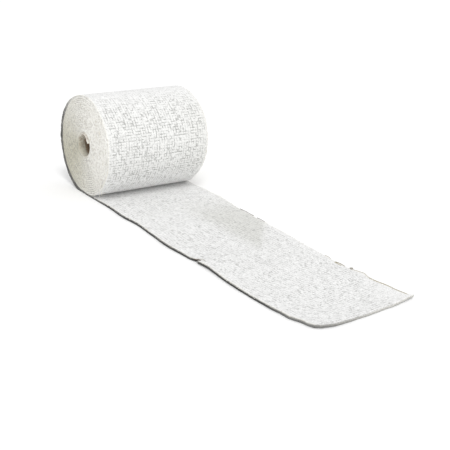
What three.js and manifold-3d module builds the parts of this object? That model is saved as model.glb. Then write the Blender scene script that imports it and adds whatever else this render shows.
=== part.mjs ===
// Plaster bandage roll: plaster-filled gauze wound on a thin card core, with its free end laid out.
//
// Millimetres, +Z up. The roll's axis runs along Y and the free end lies towards +X. The origin is on the
// surface that the roll stands on, straight below the roll's axis and halfway along it.
//
// Seen from -Y, with +X to the right, the bandage comes in along the surface from the right, passes under the
// roll, climbs its left side, crosses the top and comes down its right side, a layer further in each turn.

import * as THREE from 'three';
import * as BufferGeometryUtils from 'three/addons/utils/BufferGeometryUtils.js';
import Module from 'manifold-3d';

// Bandage
const WIDTH = 80;
const CLOTH = 1.0;
const GAP = 0.3;
const PITCH = CLOTH + GAP;

// Wound roll
const OUTER_RADIUS = 35.5;
const AXIS_HEIGHT = 35.1;
const STEP_X = 2.0;
const FLAT_SPOT_HALF = 5.0;
const OUTLINE_STEPS = 144;
const EDGE_SOFTNESS = 0.9;
const EDGE_SOFTNESS_STEPS = 2;

// Card core: a little off the roll's axis, as the roll was wound by hand
const CORE_X = 2.1;
const CORE_Z = AXIS_HEIGHT + 1.3;
const CORE_RADIUS = 9.0;
const CORE_WALL = 0.9;
const CORE_STEPS = 48;

// The card's inner ply overlaps part of the tube and stands a little out of it at the near end
const PLY_THICKNESS = 0.6;
const PLY_PROUD = 1.5;
const PLY_FROM = THREE.MathUtils.degToRad(22);
const PLY_TO = THREE.MathUtils.degToRad(128);
const PLY_STEPS = 18;
const PLY_BITE = 0.2;

// Free end: near and far are the y of its two edges, and the lifts say how high it stands off the surface
// along its near edge, its middle and its far edge
const FREE_END_START = STEP_X + GAP;
const FREE_END_ROWS = [
  { x: 2, near: -39.6, far: 40.4, nearLift: 0.0, midLift: 0.0, farLift: 0.0 },
  { x: 18, near: -38.8, far: 41.0, nearLift: 0.3, midLift: 0.0, farLift: 0.0 },
  { x: 34, near: -38.2, far: 41.6, nearLift: 0.8, midLift: 0.0, farLift: 0.4 },
  { x: 52, near: -38.8, far: 41.4, nearLift: 1.0, midLift: 0.0, farLift: 0.9 },
  { x: 72, near: -37.2, far: 40.4, nearLift: 0.9, midLift: 0.4, farLift: 0.6 },
  { x: 92, near: -38.0, far: 40.6, nearLift: 0.8, midLift: 0.9, farLift: 0.2 },
  { x: 110, near: -38.9, far: 39.8, nearLift: 1.1, midLift: 0.2, farLift: 0.8 },
  { x: 130, near: -37.4, far: 38.6, nearLift: 0.9, midLift: 0.0, farLift: 1.6 },
  { x: 150, near: -35.4, far: 38.6, nearLift: 1.4, midLift: 0.5, farLift: 1.2 },
  { x: 172, near: -36.4, far: 39.6, nearLift: 1.1, midLift: 0.8, farLift: 0.3 },
  { x: 182, near: -36.3, far: 38.9, nearLift: 1.0, midLift: 0.5, farLift: 0.4 },
  { x: 194, near: -35.9, far: 39.8, nearLift: 0.9, midLift: 0.3, farLift: 0.6 },
  { x: 202, near: -35.4, far: 42.0, nearLift: 1.0, midLift: 0.2, farLift: 0.8 },
  { x: 208, near: -35.1, far: 40.2, nearLift: 1.1, midLift: 0.1, farLift: 0.9 },
  { x: 224, near: -33.3, far: 42.0, nearLift: 1.2, midLift: 0.0, farLift: 1.2 },
  { x: 235, near: -29.9, far: 43.6, nearLift: 1.3, midLift: 0.4, farLift: 1.3 },
  { x: 241, near: -28.0, far: 46.6, nearLift: 1.5, midLift: 0.8, farLift: 1.9 },
];
// The cut across its end: x of the cut, by the share of the width from the near edge to the far one
const CUT_ROWS = [
  { share: 0.0, x: 240.6 },
  { share: 0.06, x: 242.8 },
  { share: 0.16, x: 244.2 },
  { share: 0.4, x: 243.6 },
  { share: 0.7, x: 241.8 },
  { share: 1.0, x: 239.0 },
];
const FREE_END_STEPS_ALONG = 60;
const FREE_END_STEPS_ACROSS = 14;

const wasm = await Module();
wasm.setup();

// The value of one named column at a place, smoothly between the rows on either side of it
function between(rows, key, place, column) {
  let upper = rows.findIndex((row) => row[key] >= place);
  if (upper < 0) {
    upper = rows.length - 1;
  }
  if (upper === 0) {
    return rows[0][column];
  }
  const low = rows[upper - 1];
  const high = rows[upper];
  const share = THREE.MathUtils.clamp((place - low[key]) / (high[key] - low[key]), 0, 1);
  const eased = share * share * (3 - 2 * share);
  return THREE.MathUtils.lerp(low[column], high[column], eased);
}

// Turn a closed three.js geometry into a solid that can be joined and cut
function toSolid(geometry) {
  const plain = geometry.clone();
  plain.deleteAttribute('normal');
  plain.deleteAttribute('uv');
  const merged = BufferGeometryUtils.mergeVertices(plain, 1e-4);
  const mesh = new wasm.Mesh({
    numProp: 3,
    vertProperties: new Float32Array(merged.attributes.position.array),
    triVerts: new Uint32Array(merged.index.array),
  });
  return new wasm.Manifold(mesh);
}

// Turn such a solid back into a geometry
function toGeometry(solid) {
  const mesh = solid.getMesh();
  const geometry = new THREE.BufferGeometry();
  geometry.setAttribute('position', new THREE.BufferAttribute(new Float32Array(mesh.vertProperties), 3));
  geometry.setIndex(new THREE.BufferAttribute(new Uint32Array(mesh.triVerts), 1));
  geometry.computeVertexNormals();
  return geometry;
}

// Stand an outline drawn in X and Z up along Y, from a start to an end
function alongY(shape, start, end, bevel) {
  const soft = bevel ?? 0;
  const geometry = new THREE.ExtrudeGeometry(shape, {
    depth: end - start - 2 * soft,
    steps: 1,
    bevelEnabled: soft > 0,
    bevelThickness: soft,
    bevelSize: soft,
    bevelOffset: -soft,
    bevelSegments: EDGE_SOFTNESS_STEPS,
  });
  geometry.rotateX(Math.PI / 2);
  geometry.translate(0, end - soft, 0);
  return geometry;
}

// A point of the wound outline: turn is 0 at the bottom and grows up the left side, over the top and down the
// right. Its foot is pressed flat: on the surface left of the step, and on the free end right of it.
function woundPoint(turn) {
  const radius = OUTER_RADIUS - PITCH * turn;
  const angle = 2 * Math.PI * turn;
  const x = -radius * Math.sin(angle);
  const z = AXIS_HEIGHT - radius * Math.cos(angle);
  const foot = turn < 0.5 ? 0 : PITCH;
  return new THREE.Vector2(x, Math.max(z, foot));
}

// The outline starts on the flat spot at the foot of the step, and comes back to its top one layer further in
function woundOutline() {
  const first = Math.asin(FLAT_SPOT_HALF / OUTER_RADIUS) / (2 * Math.PI);
  const last = 1 - Math.asin(FLAT_SPOT_HALF / (OUTER_RADIUS - PITCH)) / (2 * Math.PI);
  const points = [new THREE.Vector2(STEP_X, 0)];
  for (let step = 0; step <= OUTLINE_STEPS; step += 1) {
    points.push(woundPoint(THREE.MathUtils.lerp(first, last, step / OUTLINE_STEPS)));
  }
  points.push(new THREE.Vector2(STEP_X, PITCH));
  return new THREE.Shape(points);
}

function circlePoints(radius, count) {
  const points = [];
  for (let step = 0; step < count; step += 1) {
    const angle = (2 * Math.PI * step) / count;
    points.push(new THREE.Vector2(CORE_X + radius * Math.cos(angle), CORE_Z + radius * Math.sin(angle)));
  }
  return points;
}

function woundRoll() {
  const outline = woundOutline();
  outline.holes.push(new THREE.Path(circlePoints(CORE_RADIUS + GAP, CORE_STEPS)));
  return toGeometry(toSolid(alongY(outline, -WIDTH / 2, WIDTH / 2, EDGE_SOFTNESS)));
}

function cardTube() {
  const outline = new THREE.Shape(circlePoints(CORE_RADIUS, CORE_STEPS));
  outline.holes.push(new THREE.Path(circlePoints(CORE_RADIUS - CORE_WALL, CORE_STEPS)));
  return alongY(outline, -WIDTH / 2, WIDTH / 2);
}

// The overlapping ply is an arc of card that bites into the tube's wall, so that the two join as one piece
function innerPly() {
  const outer = CORE_RADIUS - CORE_WALL + PLY_BITE;
  const inner = CORE_RADIUS - CORE_WALL - PLY_THICKNESS;
  const points = [];
  const arc = (radius, from, to) => {
    for (let step = 0; step <= PLY_STEPS; step += 1) {
      const angle = THREE.MathUtils.lerp(from, to, step / PLY_STEPS);
      points.push(new THREE.Vector2(CORE_X + radius * Math.cos(angle), CORE_Z + radius * Math.sin(angle)));
    }
  };
  arc(outer, PLY_FROM, PLY_TO);
  arc(inner, PLY_TO, PLY_FROM);
  return alongY(new THREE.Shape(points), -WIDTH / 2 - PLY_PROUD, WIDTH / 2 - PLY_PROUD);
}

function core() {
  return toGeometry(toSolid(cardTube()).add(toSolid(innerPly())));
}

// Height of the free end's underside: a soft curve through the lifts of its near edge, middle and far edge
function lift(x, share) {
  const near = between(FREE_END_ROWS, 'x', x, 'nearLift');
  const middle = between(FREE_END_ROWS, 'x', x, 'midLift');
  const far = between(FREE_END_ROWS, 'x', x, 'farLift');
  const side = 2 * share - 1;
  const edge = side < 0 ? near : far;
  return THREE.MathUtils.lerp(middle, edge, side * side);
}

// A flat slab with its vertices moved onto the free end's outline and waves
function freeEnd() {
  const slab = new THREE.BoxGeometry(1, 1, CLOTH, FREE_END_STEPS_ALONG, FREE_END_STEPS_ACROSS, 1);
  slab.translate(0.5, 0.5, CLOTH / 2);
  const position = slab.attributes.position;
  for (let index = 0; index < position.count; index += 1) {
    const share = position.getY(index);
    const cut = between(CUT_ROWS, 'share', share, 'x');
    const x = THREE.MathUtils.lerp(FREE_END_START, cut, position.getX(index));
    const near = between(FREE_END_ROWS, 'x', x, 'near');
    const far = between(FREE_END_ROWS, 'x', x, 'far');
    const z = position.getZ(index) + lift(x, share);
    position.setXYZ(index, x, THREE.MathUtils.lerp(near, far, share), z);
  }
  slab.computeVertexNormals();
  return slab;
}

const plasterCloth = new THREE.MeshStandardMaterial({ color: 0xebebe6, roughness: 0.95, metalness: 0 });
const card = new THREE.MeshStandardMaterial({ color: 0xa08a6c, roughness: 0.9, metalness: 0 });

function named(name, geometry, material) {
  const mesh = new THREE.Mesh(geometry, material);
  mesh.name = name;
  return mesh;
}

const bandage = new THREE.Group();
bandage.add(named('wound_roll', woundRoll(), plasterCloth));
bandage.add(named('loose_end', freeEnd(), plasterCloth));
bandage.add(named('core', core(), card));

export default bandage;
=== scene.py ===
"""Plaster bandage roll: plaster-filled gauze wound on a card core, with its free end laid out.

Sizes are in millimetres, in the frame of the CAD model, and go to Blender in metres. The roll's axis runs
along Y, the free end lies towards +X and the roll stands on the plane at height 0.
"""

import math

import bpy
import numpy as np
from mathutils import Matrix, Vector


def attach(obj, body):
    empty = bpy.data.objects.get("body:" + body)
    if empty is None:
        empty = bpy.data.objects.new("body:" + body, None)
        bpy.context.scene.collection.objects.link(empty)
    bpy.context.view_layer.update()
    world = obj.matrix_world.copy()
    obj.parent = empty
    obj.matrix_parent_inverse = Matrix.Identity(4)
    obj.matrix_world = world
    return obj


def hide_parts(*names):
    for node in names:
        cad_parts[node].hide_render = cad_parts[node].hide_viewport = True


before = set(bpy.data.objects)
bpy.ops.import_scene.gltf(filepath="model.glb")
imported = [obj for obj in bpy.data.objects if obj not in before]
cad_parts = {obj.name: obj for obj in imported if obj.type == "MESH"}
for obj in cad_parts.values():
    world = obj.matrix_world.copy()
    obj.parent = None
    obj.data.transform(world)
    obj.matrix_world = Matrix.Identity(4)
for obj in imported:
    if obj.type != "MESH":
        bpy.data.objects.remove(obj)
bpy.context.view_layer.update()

MM = 0.001

# The bandage and the roll, as in the CAD model
WIDTH = 80.0
CLOTH = 1.0
PITCH = 1.3
OUTER_RADIUS = 35.5
AXIS_HEIGHT = 35.1
STEP_X = 2.0
CORE_X = 2.1
CORE_RISE = 1.3
CORE_RADIUS = 9.0

# The two long edges of the cloth, as shares of its width
NEAR = 0
FAR = 1

# The wound cloth: its turns, where the outer one hands over to the inner ones, hidden under itself, and the
# room between turns and round the core. The turns' middle moves from the roll's axis to the core's.
TURNS = 20.4
HANDOVER = 1.06
TURN_GAP = 0.04
CORE_GAP = 0.05
WOUND_CLOTH = PITCH - TURN_GAP
DRIFT_EASE = 1.5

# The roll sags: its lower right side bulges most at this angle from its foot, and less in the inner turns
BULGE = 1.3
BULGE_AT = math.radians(24)
BULGE_REACH = math.radians(11)
BULGE_TURNS = 5.0

# The roll's ends are domes: the inner turns stand out, and the outermost ones draw back in a round shoulder
DOME_PROUD = 0.9
SHOULDER_BACK = 1.5
SHOULDER_TURNS = 1.1

# The roll's ends carry painted shade: darkest here, as an angle from +X towards +Z, and whitest on the other
# side
SHADIEST_AT = math.radians(208)
SHADE_FOCUS = 2.6

# Gauze: the spacing of its yarns, and the steps of the fine mesh to one cell of it
WEAVE = 2.0
STEPS_PER_CELL = 4
CELLS_ACROSS = round(WIDTH / WEAVE)

# Relief of the plaster on the gauze: grooves along the yarns, a few pits, and blobs of plaster between. The
# level of a groove comes from short runs, single cells and wide patches, each with its share.
GROOVE_DEPTH = 0.34
GROOVE_MEAN = 0.58
GROOVE_SPREAD = 0.42
GROOVE_UNEVEN = 1.6
RUN_CELLS = 2
RUN_SHARE = 0.3
CELL_SHARE = 0.9
WIDE_CELLS = 5
WIDE_SHARE = 0.05
PIT_SHARE = 0.08
PIT_DEPTH = (0.2, 0.7)
BLOB_HEIGHT = 0.10
BLOB_FILL = (0.3, 1.0)
LUMP_HEIGHT = 0.07
LUMP_CELLS = 2.3
GRAIN_HEIGHT = 0.035

# The grooves are shallower along the cloth's long edges, and reach their depth a few cells further in
EDGE_GROOVES = 0.45
EDGE_GROOVES_GAIN = 0.25

# How far the lines of the fine mesh stray, and over how many cells
LINE_WANDER = 0.12
LINE_WANDER_CELLS = 1.4

# The cloth's long edges are a little rounded. Their outermost line, the rim, stands out and is a little
# ragged, and runs at this share of the thickness.
EDGE_DROP = 0.20
EDGE_DROP_REACH = 1.2
RIM_OUT = 0.30
RIM_OUT_ALONG = 0.25
RIM_RAGGED = 0.12
RIM_DEPTH = 0.35

# How the edges stray from their lines: how far slowly and over how many steps of the mesh, and so quickly
RING_STEPS = 144
ROLL_EDGE = (0.30, 22, 0.12, 4)
RING_EDGE = (0.10, 0.7 * RING_STEPS, 0.12, RING_STEPS / 40)
FREE_NEAR_EDGE = (0.12, 16, 0.06, 3)
FREE_FAR_EDGE = (0.28, 16, 0.12, 3)
CUT_EDGE = (0.15, 12, 0.12, 3)

# The outer turn's edges go over from the free end's to the roll's within this share of it
SETTLED = 0.12

# The outer turn's near edge is thicker on the roll's left side, and carries painted shade there as a dark
# line
LIP = 1.5
LIP_PROUD = 1.1
LIP_REACH = 1.5
LIP_SHADE_REACH = 0.35
LIP_SHADE_PATCHY = 0.15
LIP_SHADE_STEPS = 5

# The outer turn's far edge stands out of the roll most at this place round it
FAR_BULGE = 1.4
FAR_BULGE_AT = 0.67
FAR_BULGE_REACH = 0.12

# How much the plaster fills the outer turn's grooves: over the top, how much less down the right side, and
# how much more at its foot. And how much painted shade greys that side, and how much more towards the far
# edge.
TOP_CALM = 0.42
SIDE_CALM_LOSS = 0.64
FOOT_CALM_GAIN = 0.35
SIDE_GREY_SHADE = 0.40
FAR_GREY_SHADE_GAIN = 0.25

# The inner turns' strip: how uneven its thickness is, and its section
RING_SLACK = 0.03
RING_UNEVEN = 0.02
RING_ROUNDING = 0.06
RING_FLAT = 0.4

# How far the colour of the cut edges reaches in from them, and how much of it the cloth's back has
RIM_TINT_REACH = 0.5
RING_TINT_REACH = 0.3
CARD_TINT_REACH = 0.25
BACK_TINT = 0.2

# Card of the core: its inner ply runs from one angle to the other and joins the tube in the next stretch,
# in degrees. The tube stands a little out of the roll at the near end, and the ply a little more.
CARD = 0.8
CARD_GAP = 0.03
CARD_THINNEST = 0.05
CARD_STEPS = 260
CARD_ROUNDING = 0.15
CARD_INSET = 8.0
CARD_WANDER = 0.08
CARD_WANDER_STEPS = 10
TUBE_PROUD = 0.8
PLY_FROM = 22
PLY_TO = 128
PLY_JOINS = 40
PLY_PROUD = 1.4
PLY_PROUD_REACH = 128
# How far in from the open end the plaster dusting and the painted light on the card reach
DUST_AND_LIGHT_REACH = 4.6

# The free end's edges and how high it stands off the surface, as in the CAD model
EDGE_COLUMNS = ("x", "near", "far", "near_lift", "mid_lift", "far_lift")
EDGE_PLACES = [
    (2, -39.6, 40.4, 0.0, 0.0, 0.0),
    (18, -38.8, 41.0, 0.3, 0.0, 0.0),
    (34, -38.2, 41.6, 0.8, 0.0, 0.4),
    (52, -38.8, 41.4, 1.0, 0.0, 0.9),
    (72, -37.2, 40.4, 0.9, 0.4, 0.6),
    (92, -38.0, 40.6, 0.8, 0.9, 0.2),
    (110, -38.9, 39.8, 1.1, 0.2, 0.8),
    (130, -37.4, 38.6, 0.9, 0.0, 1.6),
    (150, -35.4, 38.6, 1.4, 0.5, 1.2),
    (172, -36.4, 39.6, 1.1, 0.8, 0.3),
    (182, -36.3, 38.9, 1.0, 0.5, 0.4),
    (194, -35.9, 39.8, 0.9, 0.3, 0.6),
    (202, -35.4, 42.0, 1.0, 0.2, 0.8),
    (208, -35.1, 40.2, 1.1, 0.1, 0.9),
    (224, -33.3, 42.0, 1.2, 0.0, 1.2),
    (235, -29.9, 43.6, 1.3, 0.4, 1.3),
    (241, -28.0, 46.6, 1.5, 0.8, 1.9),
]
EDGE = dict(zip(EDGE_COLUMNS, np.array(EDGE_PLACES).T))

# The cut across its end: x of the cut, by the share of the width from the near edge to the far one
CUT_PLACES = [(0.0, 240.6), (0.06, 242.8), (0.16, 244.2), (0.4, 243.6), (0.7, 241.8), (1.0, 239.0)]
CUT = dict(zip(("share", "x"), np.array(CUT_PLACES).T))
FREE_LENGTH = 240.0

# The free end is thicker at its edges by its hem, and its near edge has a nick
HEM = 0.9
NICK_X = 140.4
NICK_DEPTH = 3.5
NICK_REACH = 3.1

# A patch of the free end is greyed by painted shade. It lies on the far side of a line through its start,
# and on the roll's side of a line through its end, with their slants in degrees from +X.
PATCH_START = (100.0, 3.0)
PATCH_START_SLANT = 3
PATCH_START_LEAD = 3.6
PATCH_START_REACH = 18
PATCH_END = (134.0, 21.0)
PATCH_END_SLANT = 140
PATCH_END_REACH = 6

# How much the plaster fills the free end's grooves: beside the roll, towards the tip, and in its corner
BESIDE_ROLL_CALM = 0.35
TIP_CALM = 0.14
CORNER_CALM = 0.65

# Painted shade on the free end: how dark its near edge's line is beside the roll, and how much of that goes
# by the tip.
# How dark the cut's line is, painted shade with some darker frayed cotton, and how much less dark the
# painted shade of the underside is at the far edge and at the tip.
NEAR_LINE_DARK = 0.8
NEAR_LINE_FADES = 0.5
CUT_LINE_DARK = 0.40
UNDER_FADES_ACROSS = 0.6
UNDER_FADES_ALONG = 0.2

# Loose threads: their sides and taper, and for each kind of them the least and the most of its random sizes
THREAD_SIDES = 5
THREAD_TAPER = 0.6
LOOP_REACH = (0.15, 0.55)
LOOP_ROOT = 0.96
LOOP_RADIUS = (0.10, 0.16)
STUB_REACH = (0.1, 0.9)
STUB_ROOT = 1.44
STUB_RADIUS = (0.12, 0.18)
FIBRE_LENGTH = (0.8, 2.6)
FIBRE_PROUD = (0.0, 0.18)
FIBRE_RADIUS = (0.07, 0.12)
FIBRES_PER_END = 150
FREE_LOOP_SHARE = 0.45
ROLL_LOOP_SHARE = 0.30

# Camera, fitted to the photo's outlines
CAMERA_PLACE = Vector((581.6, -337.8, 232.4)) * MM
CAMERA_AZIMUTH = math.radians(54.0)
CAMERA_ELEVATION = math.radians(21.15)
CAMERA_ROLL = math.radians(3.47)
CAMERA_LENS = 77.82
SENSOR = 36.0

# Light: the sky's strength, and two soft suns. The floor's size is in metres.
SKY = 0.83
KEY_LIGHT = {"towards": (0.46, -0.20, 0.87), "softness": 18, "strength": 0.87}
FILL_LIGHT = {"towards": (0.97, 0.0, 0.25), "softness": 30, "strength": 0.50}
FLOOR_HALF = 25.0

# Colours of the floor, the plaster and the gauze, some of them painted shade
WHITE = (1.0, 1.0, 1.0, 1)
FLOOR_WHITE = (0.97, 0.97, 0.97, 1)
CHALK_WHITE = (0.99, 0.99, 0.985, 1)
CHALK_GREY = (0.8, 0.8, 0.795, 1)
BLOTCH_GREY = (0.80, 0.80, 0.79, 1)
GRAIN_GREY = (0.70, 0.70, 0.68, 1)
GREY_SHADE_COLOUR = (0.70, 0.70, 0.665, 1)
BARE_AND_GROOVE_SHADE_GREY = (0.36, 0.36, 0.345, 1)
FLECK_GREY = (0.45, 0.45, 0.435, 1)
EDGE_SHADE_GREY = (0.10, 0.10, 0.097, 1)
EDGE_SHADE_BLACK = (0.05, 0.05, 0.048, 1)
RING_WHITE = (0.925, 0.915, 0.86, 1)
RING_SHADED = (0.545, 0.52, 0.39, 1)
RING_WHITE_SPECK = (0.58, 0.555, 0.50, 1)
RING_SHADED_SPECK = (0.23, 0.22, 0.16, 1)

# Colours of the card, one of them also painted light, and the threads
CARD_BROWN = (0.33, 0.23, 0.155, 1)
CARD_DARK = (0.19, 0.125, 0.08, 1)
CARD_DUST_AND_LIGHT = (0.60, 0.585, 0.50, 1)
CARD_RIM_WHITE = (0.88, 0.855, 0.80, 1)
CARD_RIM_SHADED = (0.56, 0.54, 0.44, 1)
COTTON_CREAM = (0.88, 0.87, 0.84, 1)
COTTON_TAN = (0.62, 0.56, 0.40, 1)
COTTON_GREY = (0.60, 0.58, 0.53, 1)
COTTON_DARK = (0.085, 0.06, 0.045, 1)


# Camera, floor and light

def add_object(name, data):
    thing = bpy.data.objects.new(name, data)
    bpy.context.scene.collection.objects.link(thing)
    return thing


def make_camera():
    level, rise = math.cos(CAMERA_ELEVATION), math.sin(CAMERA_ELEVATION)
    ahead = Vector((-math.sin(CAMERA_AZIMUTH) * level, math.cos(CAMERA_AZIMUTH) * level, -rise))
    level_right = ahead.cross(Vector((0, 0, 1))).normalized()
    level_up = level_right.cross(ahead)
    right = math.cos(CAMERA_ROLL) * level_right + math.sin(CAMERA_ROLL) * level_up
    up = math.cos(CAMERA_ROLL) * level_up - math.sin(CAMERA_ROLL) * level_right
    data = bpy.data.cameras.new("camera")
    data.lens = CAMERA_LENS
    data.sensor_width = SENSOR
    camera = add_object("camera", data)
    turned = Matrix((right, up, -ahead)).transposed().to_4x4()
    camera.matrix_world = Matrix.Translation(CAMERA_PLACE) @ turned
    bpy.context.scene.camera = camera


def soft_sun(name, towards, softness, strength):
    data = bpy.data.lights.new(name, "SUN")
    data.angle = math.radians(softness)
    data.energy = strength
    add_object(name, data).rotation_euler = Vector(towards).to_track_quat("Z", "Y").to_euler()


def make_light():
    scene = bpy.context.scene
    scene.view_settings.view_transform = "Standard"
    world = bpy.data.worlds.new("soft_studio")
    world.use_nodes = True
    background = world.node_tree.nodes["Background"]
    background.inputs["Color"].default_value = WHITE
    background.inputs["Strength"].default_value = SKY
    scene.world = world
    soft_sun("key", **KEY_LIGHT)
    soft_sun("low_fill", **FILL_LIGHT)


def make_floor():
    mesh = bpy.data.meshes.new("floor")
    corners = [(-1, -1), (1, -1), (1, 1), (-1, 1)]
    mesh.from_pydata([(FLOOR_HALF * x, FLOOR_HALF * y, 0) for x, y in corners], [], [(0, 1, 2, 3)])
    mesh.materials.append(floor_material())
    add_object("floor", mesh)


# Curves and random fields, each field from its own seed

def smooth(share):
    return share * share * (3 - 2 * share)


def ramp(value, start, length):
    """0 up to the start, 1 from a length past it on, and smooth between them."""
    return smooth(np.clip((value - start) / length, 0, 1))


def fade(distance, reach):
    """1 at no distance, and less and less away from it."""
    return np.exp(-distance / reach)


def hump(value, middle, reach):
    """1 in the middle, and less and less on both sides of it."""
    return np.exp(-((value - middle) / reach) ** 2)


def between(table, key, place, column):
    """The value of a named column at each place, smoothly between the keys on either side of it."""
    keys, values = table[key], table[column]
    low = np.clip(np.searchsorted(keys, place) - 1, 0, len(keys) - 2)
    return values[low] + (values[low + 1] - values[low]) * ramp(place, keys[low], keys[low + 1] - keys[low])


def soft_field(rng, shape, step):
    """A smooth random field from -1 to 1, with its bumps about step samples apart."""
    lattice = rng.uniform(-1, 1, [math.ceil(size / step) + 2 for size in shape])
    rows = np.arange(shape[0]) / step
    columns = np.arange(shape[1]) / step
    row, column = rows.astype(int), columns.astype(int)
    down = smooth(rows - row)[:, None]
    along = smooth(columns - column)[None, :]
    corner = lattice[np.ix_(row, column)] * (1 - down) + lattice[np.ix_(row + 1, column)] * down
    other = lattice[np.ix_(row, column + 1)] * (1 - down) + lattice[np.ix_(row + 1, column + 1)] * down
    return corner * (1 - along) + other * along


def soft_line(rng, count, step):
    """The same along a line."""
    return soft_field(rng, (count, 1), step)[:, 0]


def edge_wander(rng, count, slow, slow_steps, quick, quick_steps):
    """How far an edge strays from its line, at each step along it."""
    return slow * soft_line(rng, count, slow_steps) + quick * soft_line(rng, count, quick_steps)


# Plaster on gauze

def smeared(noise, axis):
    """Noise averaged over a few neighbours along one axis, and as strong as before."""
    total = sum(np.roll(noise, step, axis) for step in range(RUN_CELLS))
    return total / math.sqrt(RUN_CELLS)


def groove_pieces(rng, shape, axis):
    """How open each piece of the lines between cells is, from 0 to 1, in short runs along the lines."""
    level = RUN_SHARE * smeared(rng.normal(size=shape), axis) + CELL_SHARE * rng.normal(size=shape)
    level += WIDE_SHARE * soft_field(rng, shape, WIDE_CELLS)
    return np.clip(GROOVE_MEAN + GROOVE_SPREAD * level, 0, 1)


def groove_depth(rng, cells_along):
    """How deep the grooves along the yarns and the pits between are, at each vertex of the fine mesh."""
    steps = STEPS_PER_CELL
    shape = (cells_along * steps + 1, CELLS_ACROSS * steps + 1)
    row, column = np.indices(shape)
    cell_row, cell_column = row // steps, column // steps
    on_weft, on_warp = row % steps == 0, column % steps == 0
    weft = groove_pieces(rng, (cells_along + 1, CELLS_ACROSS), 1)
    warp = groove_pieces(rng, (cells_along, CELLS_ACROSS + 1), 0)

    def weft_piece(back):
        return weft[cell_row, np.clip(cell_column - back, 0, CELLS_ACROSS - 1)]

    def warp_piece(back):
        return warp[np.clip(cell_row - back, 0, cells_along - 1), cell_column]

    through_weft = np.minimum(weft_piece(0), weft_piece(1))
    through_warp = np.minimum(warp_piece(0), warp_piece(1))
    crossing = np.maximum(through_weft, through_warp)
    lines = np.where(on_weft & on_warp, crossing, np.where(on_weft, weft_piece(0), warp_piece(0)))
    is_pit = rng.random((cells_along + 1, CELLS_ACROSS + 1)) < PIT_SHARE
    pits = np.where(is_pit, rng.uniform(*PIT_DEPTH, is_pit.shape), 0)[cell_row, cell_column]
    return np.where(on_weft | on_warp, lines, pits) * rng.uniform(0, GROOVE_UNEVEN, shape)


def plaster_relief(rng, cells_along, calm):
    """Height of the cloth's face and how deep its grooves are, which sets the uncovered gauze and the
    painted shade in them, at each vertex of the fine mesh.

    calm(along, across) gives how much the grooves are filled up there, from 0 to 1.
    """
    steps = STEPS_PER_CELL
    depth = groove_depth(rng, cells_along)
    row, column = np.indices(depth.shape)
    last_row, last_column = row[-1, -1], column[-1, -1]
    from_side = np.minimum(column, last_column - column) / steps
    depth *= np.clip(EDGE_GROOVES + EDGE_GROOVES_GAIN * from_side, 0, 1)
    depth *= 1 - calm(row / last_row, column / last_column)

    from_middle = np.hypot(row % steps - steps / 2, column % steps - steps / 2) / (steps / 2)
    fill = rng.uniform(*BLOB_FILL, (cells_along + 1, CELLS_ACROSS + 1))[row // steps, column // steps]
    blobs = BLOB_HEIGHT * fill * np.clip(1 - from_middle ** 2, 0, 1)
    lumps = LUMP_HEIGHT * soft_field(rng, depth.shape, LUMP_CELLS * steps)
    grain = GRAIN_HEIGHT * rng.uniform(-1, 1, depth.shape)
    return blobs + lumps + grain - GROOVE_DEPTH * depth, depth


# Meshes

def add_mesh(name, points, faces, material):
    """A new smooth-shaded object from points in millimetres."""
    mesh = bpy.data.meshes.new(name)
    mesh.from_pydata((np.asarray(points, float) * MM).tolist(), [], faces)
    mesh.validate()
    mesh.polygons.foreach_set("use_smooth", [True] * len(mesh.polygons))
    mesh.materials.append(material)
    mesh.update()
    return add_object(name, mesh)


def add_values(piece, **values):
    """Named numbers for each vertex, which the material reads."""
    for name, numbers in values.items():
        layer = piece.data.attributes.new(name, "FLOAT", "POINT")
        layer.data.foreach_set("value", np.asarray(numbers, np.float32))


def add_map(piece, places):
    """The weave's own map: the place of each vertex across and along the flat cloth, in millimetres."""
    layer = piece.data.uv_layers.new(name="weave")
    corners = np.empty(len(piece.data.loops), int)
    piece.data.loops.foreach_get("vertex_index", corners)
    layer.data.foreach_set("uv", np.asarray(places, np.float32)[corners].ravel())


def flip(face):
    """The same face seen from its other side, from the same first corner."""
    return [face[0]] + face[:0:-1]


def grid_faces(rows, columns, start=0, flipped=False):
    """Faces of a grid of that many rows and columns, whose vertices are numbered row by row."""
    wide = columns + 1
    first = (start + np.arange(rows)[:, None] * wide + np.arange(columns)[None, :]).ravel()
    faces = np.stack([first, first + wide, first + wide + 1, first + 1], 1).tolist()
    return [flip(face) for face in faces] if flipped else faces


def tube_faces(count, size, start=0, flipped=False):
    """Faces of a closed tube of count rings of that size, whose vertices are numbered ring by ring."""
    faces = []
    for step in range(count - 1):
        for side in range(size):
            here = start + step * size + side
            beside = start + step * size + (side + 1) % size
            faces.append([here, beside, beside + size, here + size])
    last = start + (count - 1) * size
    faces.append(list(reversed(range(start, start + size))))
    faces.append(list(range(last, last + size)))
    return [flip(face) for face in faces] if flipped else faces


# Fine cloth

def border_loop(rows, columns):
    """Row and column of each vertex once round the border of a grid."""
    loop = [(0, column) for column in range(columns)]
    loop += [(row, columns) for row in range(rows)]
    loop += [(rows, column) for column in range(columns, 0, -1)]
    loop += [(row, 0) for row in range(rows, 0, -1)]
    return np.array(loop).T


def outwards(place, last):
    """-1 at the first place, 1 at the last one and 0 between them."""
    return (place == last) * 1.0 - (place == 0)


def rim_faces(face_line, rim_line, back_line):
    """Faces from the border of the fine face to the rim, and from there to the border of the coarser back.

    Each line holds the vertices once round the strip, but the back's only counts where a cell begins.
    """
    steps = STEPS_PER_CELL
    half = steps // 2
    count = len(rim_line)
    faces = np.stack([face_line, np.roll(face_line, -1), np.roll(rim_line, -1), rim_line], 1).tolist()
    for first in range(0, count, steps):
        rim = [int(rim_line[(first + step) % count]) for step in range(steps + 1)]
        here, there = int(back_line[first]), int(back_line[(first + steps) % count])
        faces += [[rim[step], rim[step + 1], here if step < half else there] for step in range(steps)]
        faces.append([rim[half], there, here])
    return faces


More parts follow.
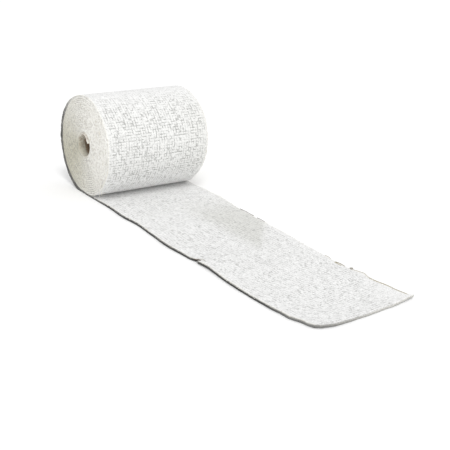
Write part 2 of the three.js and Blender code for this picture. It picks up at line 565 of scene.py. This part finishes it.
def fine_cloth(name, surface, calm, cells_along, material, thickness, hem, map_sign, seed):
    """A strip of cloth as one closed mesh: a fine face with the plaster's relief, a rim and a coarser back.

    surface(along, across, depth) gives the points at those shares of the strip, that deep under its face,
    and calm(along, across) how much its grooves are filled up. hem is how much thicker its edges are, and
    map_sign the way in which its map runs. The vertices and their shares come back with the piece.
    """
    rng = np.random.default_rng(seed)
    steps = STEPS_PER_CELL
    rows, columns = cells_along * steps, CELLS_ACROSS * steps
    length = cells_along * WEAVE

    height, bare = plaster_relief(rng, cells_along, calm)
    row, column = np.indices(height.shape)
    along, across = row / rows, column / columns
    from_side = np.minimum(across, 1 - across) * WIDTH
    from_end = np.minimum(along, 1 - along) * length
    stray = LINE_WANDER * np.clip(np.minimum(from_side, from_end) / WEAVE, 0, 1)
    along = along + stray * soft_field(rng, height.shape, LINE_WANDER_CELLS * steps) / length
    across = across + stray * soft_field(rng, height.shape, LINE_WANDER_CELLS * steps) / WIDTH
    drop = EDGE_DROP * fade(from_side, EDGE_DROP_REACH)
    face = surface(along.ravel(), across.ravel(), (drop - height).ravel())

    loop_row, loop_column = border_loop(rows, columns)
    ragged = RIM_RAGGED * rng.uniform(-1, 1, len(loop_row))
    rim_along = loop_row / rows + RIM_OUT_ALONG / length * outwards(loop_row, rows)
    rim_across = loop_column / columns + (RIM_OUT + ragged) / WIDTH * outwards(loop_column, columns)
    rim = surface(rim_along, rim_across, np.full(len(loop_row), RIM_DEPTH * (thickness + hem)))

    back_row, back_column = (places.ravel() for places in np.indices((cells_along + 1, CELLS_ACROSS + 1)))
    back_along, back_across = back_row / cells_along, back_column / CELLS_ACROSS
    at_border = (back_row % cells_along == 0) | (back_column % CELLS_ACROSS == 0)
    back = surface(back_along, back_across, thickness + hem * at_border)

    rim_start = len(face)
    back_start = rim_start + len(rim)
    face_line = loop_row * (columns + 1) + loop_column
    rim_line = rim_start + np.arange(len(rim))
    back_line = back_start + loop_row // steps * (CELLS_ACROSS + 1) + loop_column // steps
    faces = grid_faces(rows, columns)
    faces += rim_faces(face_line, rim_line, back_line)
    faces += grid_faces(cells_along, CELLS_ACROSS, back_start, flipped=True)

    points = np.concatenate([face, rim, back])
    all_along = np.concatenate([along.ravel(), rim_along, back_along])
    all_across = np.concatenate([across.ravel(), rim_across, back_across])
    piece = add_mesh(name, points, faces, material)
    add_map(piece, np.stack([all_across * WIDTH, map_sign * all_along * length], 1))
    # Groove depth, for the grey of uncovered gauze and the painted shade in the grooves
    bare = np.concatenate([bare.ravel(), np.zeros(len(rim) + len(back))])
    tint = [fade(from_side.ravel(), RIM_TINT_REACH), np.ones(len(rim)), np.full(len(back), BACK_TINT)]
    add_values(piece, bare=bare, chalk=rng.uniform(0, 1, len(points)), rim=np.concatenate(tint))
    return piece, points, all_along, all_across


# Wound cloth

def wound(turn, depth):
    """X and Z of the wound cloth, that deep under its outer face.

    turn is 0 under the roll, where the free end leaves it, and grows up the left side, over the top and down
    the right, inwards. The turns are pressed flat at the foot.
    """
    drift = np.clip(turn / (TURNS - 1), 0, 1) ** DRIFT_EASE
    angle = 2 * math.pi * turn
    from_foot = np.mod(-angle, 2 * math.pi)
    sag = BULGE * hump(from_foot, BULGE_AT, BULGE_REACH) * fade(turn, BULGE_TURNS)
    radius = OUTER_RADIUS - PITCH * turn - depth + sag
    x = CORE_X * drift - radius * np.sin(angle)
    z = AXIS_HEIGHT + CORE_RISE * drift - radius * np.cos(angle)
    foot = PITCH * np.round(turn) + depth
    return x, np.maximum(z, foot)


def end_dome(turn):
    """How far the edges of a turn stand out from the bandage's width."""
    return DOME_PROUD * np.clip(turn / TURNS, 0, 1) - SHOULDER_BACK * fade(turn, SHOULDER_TURNS)


def facing(turn):
    """The angle from +X towards +Z at which a turn lies round the roll's axis."""
    return -2 * math.pi * turn - math.pi / 2


def dullness(angle):
    """How much painted shade the edges get at that angle round the roll's axis, from 0 to 1."""
    return (0.5 + 0.5 * np.cos(angle - SHADIEST_AT)) ** SHADE_FOCUS


def side_wear_and_shade(turn):
    """0 over the top of the roll, and 1 down its right side, where less plaster fills the grooves and
    painted shade greys the cloth.
    """
    return ramp(turn, start=0.50, length=0.14)


def left_side(turn):
    """1 where the outer turn climbs the roll's left side, and 0 before it reaches the top."""
    return 1 - ramp(turn, start=0.30, length=0.17)


def outer_turn(material):
    """The outermost turn, from the step under the roll round to a little past it, over its own start."""
    rng = np.random.default_rng(21)
    length = 2 * math.pi * (OUTER_RADIUS - PITCH / 2) * HANDOVER
    cells_along = round(length / WEAVE)
    count = cells_along * STEPS_PER_CELL + 1
    places = np.linspace(0, 1, count)
    near_wander = edge_wander(rng, count, *ROLL_EDGE)
    far_wander = edge_wander(rng, count, *ROLL_EDGE)
    near_start, far_start = EDGE["near"][0], EDGE["far"][0]

    def surface(along, across, depth):
        turn = along * HANDOVER
        lip = LIP * left_side(turn) * fade(across * WIDTH, LIP_REACH)
        x, z = wound(turn, depth - lip * (1 - depth / WOUND_CLOTH))
        settled = ramp(along, 0, SETTLED)
        half = WIDTH / 2 + end_dome(turn)
        near = near_start + (-half - near_start) * settled + np.interp(along, places, near_wander)
        near = near - LIP_PROUD * left_side(turn) * settled
        far = far_start + (half - far_start) * settled + np.interp(along, places, far_wander)
        far = far + FAR_BULGE * hump(turn, FAR_BULGE_AT, FAR_BULGE_REACH)
        y = near + (far - near) * across
        return np.stack([x, y, np.maximum(z, 0)], 1)

    def calm(along, across):
        turn = along * HANDOVER
        at_foot = ramp(turn, start=0.84, length=0.08)
        return TOP_CALM - SIDE_CALM_LOSS * side_wear_and_shade(turn) + FOOT_CALM_GAIN * at_foot

    piece, _, along, across = fine_cloth("outer_turn", surface, calm, cells_along, material,
                                         thickness=WOUND_CLOTH, hem=0.0, map_sign=-1, seed=22)
    turn = along * HANDOVER
    above_foot = 1 - ramp(turn, start=0.78, length=0.10)
    far_side = ramp(across, start=0.6, length=0.4)
    # Painted shade: the cloth greys down the roll's right side, and more towards its far edge
    thin = side_wear_and_shade(turn) * (SIDE_GREY_SHADE * above_foot + FAR_GREY_SHADE_GAIN * far_side)
    # Painted shade: a dark, patchy line on the outer side of the lip on the roll's left
    patchy = np.interp(along, places, soft_line(rng, count, LIP_SHADE_STEPS))
    lip_shade = 1 - LIP_SHADE_PATCHY + LIP_SHADE_PATCHY * patchy
    under = lip_shade * left_side(turn) * fade(np.clip(across * WIDTH, 0, None), LIP_SHADE_REACH)
    # Painted shade on the turn's cut edges, darkest towards the roll's lower left
    add_values(piece, dull=dullness(facing(turn)), thin=thin, under=under)
    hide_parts("wound_roll")
    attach(piece, "root")
    return piece, length, surface


# Long strips, rolled up

def strip_section(rounding, flat):
    """Places once round a strip's section: from which edge, how far in from it and how deep, as a share."""
    upper = [(0.0, 0.5), (rounding, 0.08), (flat, 0.0)]
    lower = [(rounding, 0.92), (flat, 1.0)]
    section = [(NEAR, *place) for place in upper]
    section += [(FAR, *place) for place in reversed(upper)]
    section += [(FAR, *place) for place in lower]
    section += [(NEAR, *place) for place in reversed(lower)]
    return section


def strip_points(section, near, far, at_depth):
    """Points of a strip, ring by ring, and how far in from its edges each of them is.

    near and far are the y of its edges at each step along it, and at_depth(share) is its x and z there, that
    share of its thickness deep.
    """
    rings = []
    for edge, inset, share in section:
        x, z = at_depth(share)
        y = near + inset if edge == NEAR else far - inset
        rings.append(np.stack([x, y, z], 1))
    insets = np.tile([inset for _, inset, _ in section], len(near))
    return np.stack(rings, 1).reshape(-1, 3), insets


def inner_turns(material):
    """All the turns under the outer one: a thin strip whose edges show as rings at the roll's ends."""
    rng = np.random.default_rng(31)
    count = int((TURNS - HANDOVER) * RING_STEPS)
    turn = np.linspace(HANDOVER, TURNS, count)
    half = WIDTH / 2 + end_dome(turn)
    near = -half - edge_wander(rng, count, *RING_EDGE)
    far = half + edge_wander(rng, count, *RING_EDGE)
    thick = WOUND_CLOTH - RING_SLACK + RING_UNEVEN * soft_line(rng, count, RING_STEPS / 20)
    to_core = OUTER_RADIUS - PITCH * turn - CORE_RADIUS - CORE_GAP
    thick = np.minimum(thick, np.maximum(to_core, CORE_GAP))

    def at_depth(share):
        return wound(turn, share * thick)

    section = strip_section(RING_ROUNDING, RING_FLAT)
    size = len(section)
    points, insets = strip_points(section, near, far, at_depth)
    piece = add_mesh("inner_turns", points, tube_faces(count, size, flipped=True), material)
    length = float(np.sum(2 * math.pi * (OUTER_RADIUS - PITCH * turn[1:]) * np.diff(turn)))
    along = np.repeat(-np.linspace(0, length, count), size)
    add_map(piece, np.stack([points[:, 1] + WIDTH / 2, along], 1))
    # The rings get painted shade, darker towards one side of the roll's ends
    add_values(piece, rim=fade(insets, RING_TINT_REACH), bare=np.zeros(len(points)),
               chalk=rng.uniform(0, 1, len(points)), dull=np.repeat(dullness(facing(turn)), size))
    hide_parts("wound_roll")
    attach(piece, "root")
    return piece, length


def card_core(material):
    """A strip of card rolled up nearly one and a half times, its inner end a little out of the tube.

    Angles are in degrees, from +X towards +Z. The card starts on the inside, and where its outer end comes
    to lie over the start it gets thinner, so that the two together keep the tube round.
    """
    rng = np.random.default_rng(51)
    angle = np.linspace(PLY_FROM, 360 + PLY_TO + PLY_JOINS, CARD_STEPS)
    lap = CARD + CARD_GAP

    def inwards(at):
        """1 on the inner ply, and 0 once it has joined the tube."""
        return 1 - ramp(at, PLY_TO, PLY_JOINS)

    radius = CORE_RADIUS - lap * inwards(angle)
    thick = np.where(angle > 360 + PLY_TO, lap * inwards(angle - 360), CARD)
    thick = np.maximum(thick, CARD_THINNEST)
    proud = PLY_PROUD * (1 - ramp(angle, PLY_FROM, PLY_PROUD_REACH))
    near = -WIDTH / 2 - TUBE_PROUD - proud + CARD_WANDER * soft_line(rng, CARD_STEPS, CARD_WANDER_STEPS)
    far = WIDTH / 2 - proud + CARD_WANDER * soft_line(rng, CARD_STEPS, CARD_WANDER_STEPS)
    turned = np.radians(angle)

    def at_depth(share):
        out = radius - share * thick
        return CORE_X + out * np.cos(turned), AXIS_HEIGHT + CORE_RISE + out * np.sin(turned)

    section = strip_section(CARD_ROUNDING, CARD_INSET)
    size = len(section)
    points, insets = strip_points(section, near, far, at_depth)
    piece = add_mesh("card_core", points, tube_faces(CARD_STEPS, size), material)
    # The card's rim gets painted shade, darker towards one side
    add_values(piece, rim=fade(insets, CARD_TINT_REACH), inside=insets / CARD_INSET,
               dull=np.repeat(dullness(turned), size))
    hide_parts("core")
    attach(piece, "root")
    return piece


# Free end

def lift(x, across):
    """Height of the free end's underside: a soft curve through its near edge, middle and far edge."""
    near, middle, far = (between(EDGE, "x", x, column) for column in ("near_lift", "mid_lift", "far_lift"))
    side = 2 * across - 1
    edge = np.where(side < 0, near, far)
    return middle + (edge - middle) * side * side


def nick(x, across):
    """The near edge curls in towards its nick, and starts again in its old place behind it."""
    curl = NICK_DEPTH * fade(np.clip(NICK_X - x, 0, None), NICK_REACH)
    return np.where(x < NICK_X, curl, 0) * fade(np.clip(across, 0, 1) * WIDTH, 2 * NICK_REACH)


def grey_shade_patch(x, y):
    """1 in the middle of the patch greyed by painted shade, 0 away from it."""
    def past(place, slant):
        """How far to the left of the line through that place, seen along its slant."""
        turned = math.radians(slant)
        return (y - place[1]) * math.cos(turned) - (x - place[0]) * math.sin(turned)

    start = ramp(past(PATCH_START, PATCH_START_SLANT), -PATCH_START_LEAD, PATCH_START_REACH)
    end = ramp(past(PATCH_END, PATCH_END_SLANT), 0, PATCH_END_REACH)
    return start * end * ramp(x, start=42, length=50)


def smooth_corner(x, y):
    """1 in the far corner of the free end, where the plaster lies smooth, 0 away from it."""
    return ramp(x, start=190, length=45) * ramp(y, start=8, length=30)


def free_end_dark(x, y, places, cut_places):
    """How dark the painted shade on each vertex of the free end is: on its underside, along its near edge's
    line, and along its cut, where it also stands for darker frayed cotton.
    """
    across = 1 - UNDER_FADES_ACROSS * ramp(y, -WIDTH / 2, WIDTH)
    dark = across * (1 - UNDER_FADES_ALONG * ramp(x, start=200, length=30))
    face = np.zeros((len(places), len(cut_places)))
    face[:, 0] = NEAR_LINE_DARK - NEAR_LINE_FADES * ramp(places, start=0.4, length=0.25)
    face[-1, :] = CUT_LINE_DARK * (1 - smooth(cut_places))
    dark[:face.size] = face.ravel()
    return dark


def loose_end(material):
    """The free end, from the step under the roll to its cut."""
    rng = np.random.default_rng(41)
    cells_along = round(FREE_LENGTH / WEAVE)
    places = np.linspace(0, 1, cells_along * STEPS_PER_CELL + 1)
    cut_places = np.linspace(0, 1, CELLS_ACROSS * STEPS_PER_CELL + 1)
    near_wander = edge_wander(rng, len(places), *FREE_NEAR_EDGE)
    far_wander = edge_wander(rng, len(places), *FREE_FAR_EDGE)
    cut_wander = edge_wander(rng, len(cut_places), *CUT_EDGE)

    def surface(along, across, depth):
        inside = np.clip(across, 0, 1)
        cut = between(CUT, "share", inside, "x") + np.interp(inside, cut_places, cut_wander)
        x = STEP_X + (cut - STEP_X) * along
        near = between(EDGE, "x", x, "near") + np.interp(along, places, near_wander)
        far = between(EDGE, "x", x, "far") + np.interp(along, places, far_wander)
        y = near + (far - near) * across + nick(x, across)
        z = np.maximum(lift(x, inside) + CLOTH - depth, 0)
        return np.stack([x, y, z], 1)

    def calm(along, across):
        x, y = STEP_X + FREE_LENGTH * along, WIDTH * (across - 0.5)
        beside_roll = BESIDE_ROLL_CALM * (1 - ramp(x, start=8, length=30))
        towards_tip = TIP_CALM * ramp(x, start=110, length=60)
        return np.maximum.reduce([beside_roll, towards_tip, CORNER_CALM * smooth_corner(x, y)])

    piece, points, _, _ = fine_cloth("loose_end_cloth", surface, calm, cells_along, material,
                                     thickness=CLOTH, hem=HEM, map_sign=1, seed=42)
    x, y, _ = points.T
    # Painted shade greys a patch of the free end
    # Painted shade: the dark underside, the near edge's line and the cut's line
    add_values(piece, thin=grey_shade_patch(x, y), under=free_end_dark(x, y, places, cut_places))
    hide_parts("loose_end")
    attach(piece, "root")
    return piece, surface


# Loose threads

def bent(points, count):
    """Points evenly along a smooth line through the given ones."""
    points = np.asarray(points, float)
    before, after = 2 * points[:1] - points[1:2], 2 * points[-1:] - points[-2:-1]
    padded = np.concatenate([before, points, after])
    place = np.linspace(0, len(points) - 1, count)
    first = np.minimum(place.astype(int), len(points) - 2)
    t = (place - first)[:, None]
    a, b, c, d = (padded[first + n] for n in range(4))
    straight = b + 0.5 * (c - a) * t
    return straight + (a - 2.5 * b + 2 * c - 0.5 * d) * t ** 2 + 0.5 * (3 * b - a - 3 * c + d) * t ** 3


def thread(points, radius, tan, dark=0.0):
    """One loose thread along a line in millimetres, with how tan and how dark it is."""
    return {"line": np.asarray(points, float), "radius": radius, "tan": tan, "dark": dark}


def thread_rings(line, radius):
    """Points of a thin tapered tube along a line, ring by ring."""
    ahead = np.gradient(line, axis=0)
    ahead /= np.linalg.norm(ahead, axis=1, keepdims=True)
    least = np.eye(3)[np.argmin(np.abs(ahead).mean(0))]
    aside = np.cross(ahead, least)
    aside /= np.linalg.norm(aside, axis=1, keepdims=True)
    above = np.cross(aside, ahead)
    turned = 2 * math.pi * np.arange(THREAD_SIDES)[:, None] / THREAD_SIDES
    ring = np.cos(turned) * aside[:, None, :] + np.sin(turned) * above[:, None, :]
    radii = radius * np.linspace(1.0, THREAD_TAPER, len(line))[:, None, None]
    return (line[:, None, :] + radii * ring).reshape(-1, 3)


def add_threads(name, threads, material):
    """All the loose threads on one sheet as a single mesh of thin tubes."""
    points, faces, tan, dark = [], [], [], []
    start = 0
    for one in threads:
        rings = thread_rings(one["line"], one["radius"])
        points.append(rings)
        faces += tube_faces(len(one["line"]), THREAD_SIDES, start)
        tan += [one["tan"]] * len(rings)
        dark += [one["dark"]] * len(rings)
        start += len(rings)
    piece = add_mesh(name, np.concatenate(points), faces, material)
    add_values(piece, tan=tan, dark=dark)
    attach(piece, "root")
    return piece


def selvedge_loops(rng, surface, side, cells, share):
    """Small loops of the crosswise yarn that stand out of one long edge, at some of the cells."""
    threads = []
    out_sign = 1 if side == FAR else -1
    for cell in range(1, cells - 1):
        if rng.random() > share:
            continue
        out = rng.uniform(*LOOP_REACH)
        along = (cell + 0.5 + np.array([-0.30, -0.20, 0.0, 0.20, 0.30]) * rng.uniform(0.6, 1.4)) / cells
        across = side + out_sign * np.array([-LOOP_ROOT, 0.3 * out, out, 0.3 * out, -LOOP_ROOT]) / WIDTH
        depth = rng.uniform(0.15, 0.60) + rng.uniform(-0.1, 0.1, 5)
        loop = bent(surface(along, across, depth), 9)
        threads.append(thread(loop, rng.uniform(*LOOP_RADIUS), rng.uniform(0, 0.5), rng.uniform(0, 0.25)))
    return threads


def cut_stubs(rng, surface):
    """The ends of the lengthwise yarns, which stand a little out of the cut."""
    threads = []
    for yarn in range(CELLS_ACROSS):
        out = rng.uniform(*STUB_REACH)
        along = 1 + np.array([-STUB_ROOT, 0.0, 0.6 * out, out]) / FREE_LENGTH
        place = (yarn + rng.uniform(0.2, 0.8)) / CELLS_ACROSS
        across = place + rng.uniform(-0.3, 0.3) / WIDTH * np.array([0, 0, 0.6, 1])
        depth = rng.uniform(0.35, 0.75) + np.array([0, 0, 0.05, 0.1])
        line = bent(surface(along, across, depth), 6)
        threads.append(thread(line, rng.uniform(*STUB_RADIUS), rng.uniform(0, 0.6), rng.uniform(0.1, 0.5)))
    return threads


def end_fibres(rng, side):
    """Short fibres of the cloth's edge that lie on one end of the roll."""
    threads = []
    out_sign = 1 if side == FAR else -1
    spread = np.linspace(-0.5, 0.5, 4)
    for _ in range(FIBRES_PER_END):
        turn = TURNS * (1 - rng.uniform(0.35, 0.985) ** 2)
        radius = OUTER_RADIUS - PITCH * turn
        turns = turn + spread * rng.uniform(*FIBRE_LENGTH) / (2 * math.pi * radius)
        x, z = wound(turns, WOUND_CLOTH / 2 + rng.uniform(-0.5, 0.5) * spread * 2)
        y = out_sign * (WIDTH / 2 + end_dome(turns) + rng.uniform(*FIBRE_PROUD) - 0.15 * spread ** 2)
        line = bent(np.stack([x, y, z], 1), 7)
        threads.append(thread(line, rng.uniform(*FIBRE_RADIUS), rng.uniform(0.2, 0.9), rng.uniform(0, 0.35)))
    return threads


def far_thread(surface, places, radius, tan, dark):
    """A thread along the free end's far edge, through places given as x, how far out and how far up."""
    x, out, up = np.array(places, float).T
    along = (x - STEP_X) / (CUT["x"][-1] - STEP_X)
    line = surface(along, FAR + out / WIDTH, -up)
    return thread(bent(line, 5 * len(line)), radius, tan, dark)


def knot_places(x):
    """A small knot on the free end's far edge: a few flat rounds that climb a little as they go along."""
    step = np.arange(16)
    angle = 2 * math.pi * step / 6
    out, up = 0.1 + 0.7 * np.sin(angle), 0.1 + 0.03 * step
    return np.stack([x + 0.9 * np.cos(angle) + 0.06 * step, out, up], 1)


def free_end_threads(material, surface):
    rng = np.random.default_rng(61)
    cells = round(FREE_LENGTH / WEAVE)
    threads = cut_stubs(rng, surface)
    threads += selvedge_loops(rng, surface, NEAR, cells, FREE_LOOP_SHARE)
    threads += selvedge_loops(rng, surface, FAR, cells, FREE_LOOP_SHARE)
    # The tan yarn of the far selvedge from the knot to the tip, with a second one beside its last stretch
    selvedge = [(194, 0.1, 0.0), (198, 0.3, 0.1), (202, 0.3, 0.1), (205, 0.2, 0.1)]
    last = [(208, 0.2, 0.1), (214, 0.3, 0.0), (221, 0.1, 0.1), (228, 0.2, 0.0), (233, 0.1, 0.0), (236, 0, 0)]
    beside = [(x + 1, out - 0.35, up - 0.05) for x, out, up in last]
    # Each with its radius, and how tan and how dark it is: first a dark yarn along the far edge beside the
    # greyed patch, then rusty ends of yarn, the knot, and the selvedge
    far_threads = [
        ([(78, -0.1, 0.0), (83, 0.15, 0.15), (88, 0.1, 0.1), (93, 0.2, 0.1)], 0.20, 0.5, 0.9),
        ([(97.5, 0.1, 0.1), (101, 0.2, 0.15), (106, 0.0, 0.0)], 0.20, 0.5, 0.9),
        ([(169, 0, 0), (172, 0.3, 0.1), (175, 0.1, 0)], 0.16, 0.8, 0.45),
        ([(180, -0.3, 0.1), (184, 0.1, 0.2), (188, -0.3, 0.1)], 0.26, 1.0, 0.50),
        ([(180, -1.3, 0.1), (183, -1.2, 0.15), (186, -1.6, 0.1)], 0.20, 1.0, 0.2),
        (knot_places(192.5), 0.22, 0.6, 0.55),
        (selvedge + last, 0.19, 0.75, 0.35),
        (beside, 0.15, 0.9, 0.15),
    ]
    threads += [far_thread(surface, *one) for one in far_threads]
    # The dark selvedge yarn that the nick has pulled across, and a tan one above it
    dark_yarn = [(137.8, -36.7, 1.8), (139.0, -36.2, 2.0), (140.4, -35.6, 2.2), (141.9, -34.6, 2.2)]
    threads.append(thread(bent(dark_yarn, 14), radius=0.33, tan=0.2, dark=1.0))
    tan_yarn = [(139.0, -34.8, 2.1), (141.2, -33.2, 2.6), (143.2, -32.4, 2.2)]
    threads.append(thread(bent(tan_yarn, 9), radius=0.16, tan=0.7, dark=0.4))
    return add_threads("free_end_threads", threads, material)


def roll_threads(material, surface, length):
    rng = np.random.default_rng(62)
    cells = round(length / WEAVE)
    threads = selvedge_loops(rng, surface, NEAR, cells, ROLL_LOOP_SHARE)
    threads += selvedge_loops(rng, surface, FAR, cells, ROLL_LOOP_SHARE)
    threads += end_fibres(rng, NEAR)
    threads += end_fibres(rng, FAR)
    # Two creamy threads hang from the roll's near edge to the free end
    long_one = [(33.4, -38.7, 28.0), (31.6, -38.9, 22.0), (28.4, -39.3, 16.0), (27.0, -39.8, 11.5),
                (26.6, -40.0, 6.6)]
    short_one = [(26.0, -39.2, 15.5), (25.0, -40.1, 12.5), (24.6, -40.4, 9.0), (24.4, -40.4, 5.2)]
    threads.append(thread(bent(long_one, 30), radius=0.30, tan=0.25))
    threads.append(thread(bent(short_one, 16), radius=0.26, tan=0.30))
    return add_threads("roll_threads", threads, material)


# Materials

class Nodes:
    """A short way to build a node material."""

    def __init__(self, name):
        self.material = bpy.data.materials.new(name)
        self.material.use_nodes = True
        self.tree = self.material.node_tree
        self.shader = self.tree.nodes["Principled BSDF"]

    def put(self, socket, value):
        if isinstance(value, bpy.types.NodeSocket):
            self.tree.links.new(value, socket)
        else:
            socket.default_value = value

    def add(self, kind, inputs=(), **settings):
        node = self.tree.nodes.new(kind)
        for key, value in settings.items():
            setattr(node, key, value)
        for key, value in dict(inputs).items():
            self.put(node.inputs[key], value)
        return node

    def maths(self, operation, a, b):
        return self.add("ShaderNodeMath", {0: a, 1: b}, operation=operation).outputs[0]

    def noise(self, vector, scale, detail=2.0, roughness=0.5):
        values = {"Vector": vector, "Scale": scale, "Detail": detail, "Roughness": roughness}
        return self.add("ShaderNodeTexNoise", values).outputs["Fac"]

    def cover(self, value, start, full, most=1.0, least=0.0):
        """The least at the start, the most where the value is full, and evenly between them."""
        values = {"Value": value, "From Min": start, "From Max": full, "To Min": least, "To Max": most}
        return self.add("ShaderNodeMapRange", values).outputs["Result"]

    def mix(self, share, a, b):
        """The colour a where the share is 0, and b where it is 1, through the node's colour sockets."""
        return self.add("ShaderNodeMix", {0: share, 6: a, 7: b}, data_type="RGBA").outputs[2]

    def value(self, name):
        return self.add("ShaderNodeAttribute", attribute_name=name).outputs["Fac"]

    def place(self):
        """Where the surface is, in metres."""
        return self.add("ShaderNodeNewGeometry").outputs["Position"]

    def bump(self, height, distance, below=None):
        """Small bumps of that height in millimetres, on top of those below."""
        node = self.add("ShaderNodeBump", {"Height": height, "Distance": distance * MM, "Strength": 1.0})
        if below is not None:
            self.put(node.inputs["Normal"], below)
        return node.outputs["Normal"]

    def finish(self, colour, roughness, specular, normal=None):
        """Set the shader's sockets, and give the material."""
        self.put(self.shader.inputs["Base Color"], colour)
        self.put(self.shader.inputs["Roughness"], roughness)
        self.put(self.shader.inputs["Specular IOR Level"], specular)
        if normal is not None:
            self.put(self.shader.inputs["Normal"], normal)
        return self.material


def floor_material():
    return Nodes("floor").finish(FLOOR_WHITE, roughness=1.0, specular=0.0)


def plaster_face(n, flat, grain):
    """The colour of the plaster: chalky white, greyer under painted shade, and grey where the gauze shows,
    which is partly painted shade in the grooves.
    """
    blotch = n.noise(flat, scale=0.22, detail=3.0, roughness=0.55)
    fleck = n.noise(flat, scale=1.6, detail=1.0, roughness=0.5)
    colour = n.mix(n.value("chalk"), CHALK_GREY, CHALK_WHITE)
    colour = n.mix(n.cover(blotch, start=0.35, full=0.70, most=0.30), colour, BLOTCH_GREY)
    colour = n.mix(n.cover(grain, start=0.55, full=0.80, most=0.25), colour, GRAIN_GREY)
    # Painted shade greys the free end's patch and the roll's right side
    colour = n.mix(n.maths("MULTIPLY", n.value("thin"), 0.74), colour, GREY_SHADE_COLOUR)
    # Grey of uncovered gauze, partly painted shade in the grooves
    colour = n.mix(n.cover(n.value("bare"), start=0.05, full=0.95, most=0.82), colour, BARE_AND_GROOVE_SHADE_GREY)
    return n.mix(n.cover(fleck, start=0.53, full=0.68, most=0.50), colour, FLECK_GREY)


def plaster_rings(n, along):
    """The colour of the cloth's cut edges: off-white with darker specks and streaks, and painted shade
    darkening one side.
    """
    only_along = n.add("ShaderNodeCombineXYZ", {0: along}).outputs[0]
    streak = n.cover(n.noise(only_along, scale=0.12, detail=3.0, roughness=0.7), start=0.40, full=0.62)
    speck = n.cover(n.noise(n.place(), scale=800.0, detail=2.0, roughness=0.6), start=0.46, full=0.62)
    mottle = n.maths("MAXIMUM", n.maths("MULTIPLY", streak, 0.35), speck)
    # Painted shade: the edges and their specks darken towards one side of the roll's ends
    dull = n.value("dull")
    edge = n.mix(dull, RING_WHITE, RING_SHADED)
    dark = n.mix(dull, RING_WHITE_SPECK, RING_SHADED_SPECK)
    return n.mix(n.maths("MULTIPLY", mottle, 0.85), edge, dark)


def shown_yarns(n, flat, across, along):
    """1 along the middle of each yarn where it shows through the plaster, and 0 between the yarns."""
    def yarn(place):
        from_middle = n.maths("PINGPONG", n.maths("DIVIDE", place, WEAVE), 0.5)
        return n.cover(from_middle, start=0.16, full=0.02)

    yarns = n.maths("MAXIMUM", yarn(across), yarn(along))
    shows = n.cover(n.noise(flat, scale=0.35), start=0.45, full=0.75)
    return n.maths("MULTIPLY", yarns, shows)


def plaster_material():
    """Chalky plaster in cotton gauze, with its cut edges, and painted shade along its dark edges and on its
    underside.
    """
    n = Nodes("plaster_gauze")
    flat = n.add("ShaderNodeUVMap", uv_map="weave").outputs["UV"]
    across, along, _ = n.add("ShaderNodeSeparateXYZ", {0: flat}).outputs
    grain = n.noise(flat, scale=2.6, detail=3.0, roughness=0.6)
    colour = plaster_face(n, flat, grain)
    colour = n.mix(n.maths("MULTIPLY", n.value("rim"), 0.90), colour, plaster_rings(n, along))
    # Painted shade along the dark edges and on the underside
    colour = n.mix(n.value("under"), colour, n.mix(grain, EDGE_SHADE_GREY, EDGE_SHADE_BLACK))
    relief = n.bump(shown_yarns(n, flat, across, along), 0.06)
    relief = n.bump(grain, 0.16, relief)
    return n.finish(colour, roughness=0.92, specular=0.25, normal=relief)


def card_material():
    """Grey-brown card with fibres, dusted with plaster, lighter near the open end and on the lower wall by
    painted light, and nearly white at its cut rim, with painted shade on one side.
    """
    n = Nodes("core_card")
    place = n.place()
    fibre_scale = (1000.0, 220.0, 1000.0)
    stretched = n.add("ShaderNodeVectorMath", {0: place, 1: fibre_scale}, operation="MULTIPLY").outputs[0]
    fibre = n.noise(stretched, scale=1.6, detail=4.0, roughness=0.65)
    height = n.add("ShaderNodeSeparateXYZ", {0: place}).outputs["Z"]
    # Painted light: the lower wall and the stretch near the open end are lighter, mixed with spots of
    # plaster
    upper = n.cover(height, start=(AXIS_HEIGHT - 2.0) * MM, full=(AXIS_HEIGHT + 4.0) * MM)
    spots = n.noise(place, scale=620.0, detail=3.0, roughness=0.6)
    low_dust_and_light = n.cover(spots, start=0.38, full=0.52, least=0.4)
    dust_and_light = n.mix(upper, low_dust_and_light, n.cover(spots, start=0.47, full=0.55))
    reach = DUST_AND_LIGHT_REACH / CARD_INSET
    near_rim = n.cover(n.value("inside"), start=1.08 * reach, full=reach, most=0.9)
    dust_and_light = n.maths("MULTIPLY", dust_and_light, near_rim)
    brown = n.mix(n.cover(fibre, start=0.35, full=0.70), CARD_DARK, CARD_BROWN)
    brown = n.mix(dust_and_light, brown, CARD_DUST_AND_LIGHT)
    # Painted shade on the card's rim, darker towards one side
    rim = n.mix(n.value("dull"), CARD_RIM_WHITE, CARD_RIM_SHADED)
    colour = n.mix(n.maths("MULTIPLY", n.value("rim"), 0.9), brown, rim)
    return n.finish(colour, roughness=0.88, specular=0.25, normal=n.bump(fibre, 0.12))


def thread_material():
    """Cotton threads, dusted with plaster, some of them tan or dark."""
    n = Nodes("loose_cotton")
    fluff = n.noise(n.place(), scale=2500.0, detail=2.0, roughness=0.6)
    colour = n.mix(n.value("tan"), COTTON_CREAM, COTTON_TAN)
    colour = n.mix(n.cover(fluff, start=0.45, full=0.70, most=0.25), colour, COTTON_GREY)
    colour = n.mix(n.value("dark"), colour, COTTON_DARK)
    return n.finish(colour, roughness=0.95, specular=0.2, normal=n.bump(fluff, 0.08))


make_camera()
make_light()
make_floor()

gauze = plaster_material()
cotton = thread_material()
turn_piece, turn_length, turn_surface = outer_turn(gauze)
inner_piece, inner_length = inner_turns(gauze)
free_piece, free_surface = loose_end(gauze)
card_core(card_material())
roll_strands = roll_threads(cotton, turn_surface, turn_length)
free_strands = free_end_threads(cotton, free_surface)
